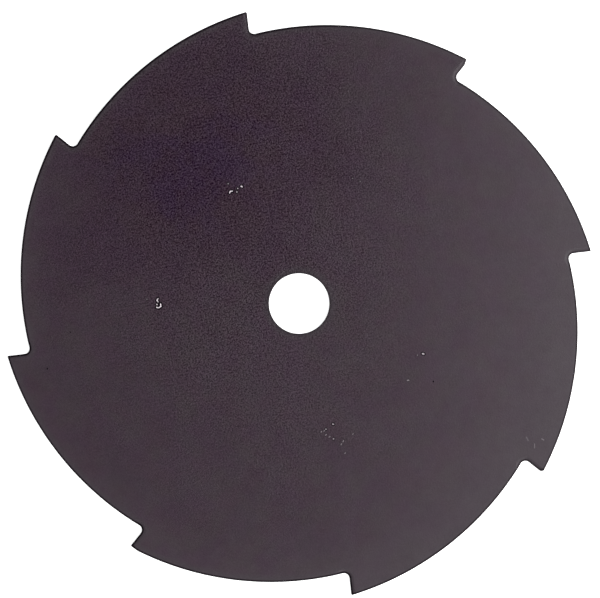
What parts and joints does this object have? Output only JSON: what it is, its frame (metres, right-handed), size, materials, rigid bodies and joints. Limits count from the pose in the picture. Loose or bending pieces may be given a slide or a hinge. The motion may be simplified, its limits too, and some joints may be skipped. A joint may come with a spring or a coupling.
{
  "type": "brush cutter blade",
  "caption": "Flat eight-tooth brush cutter blade, 250 mm over the tips, with a 25.4 mm arbor hole, punched from 1.4 mm steel and painted black.",
  "frame": {"origin": "centre of the arbor hole, in the plane of the underside", "axes": "+Z along the arbor hole's axis, up through the bevelled side; +X from the centre to the tip of one tooth; seen from +Z the front faces look clockwise"},
  "size_m": [0.25, 0.25, 0.0014],
  "materials": {
    "black_paint": "satin"
  },
  "bodies": {
    "root": {"blade": "black_paint"}
  },
  "joints": []
}
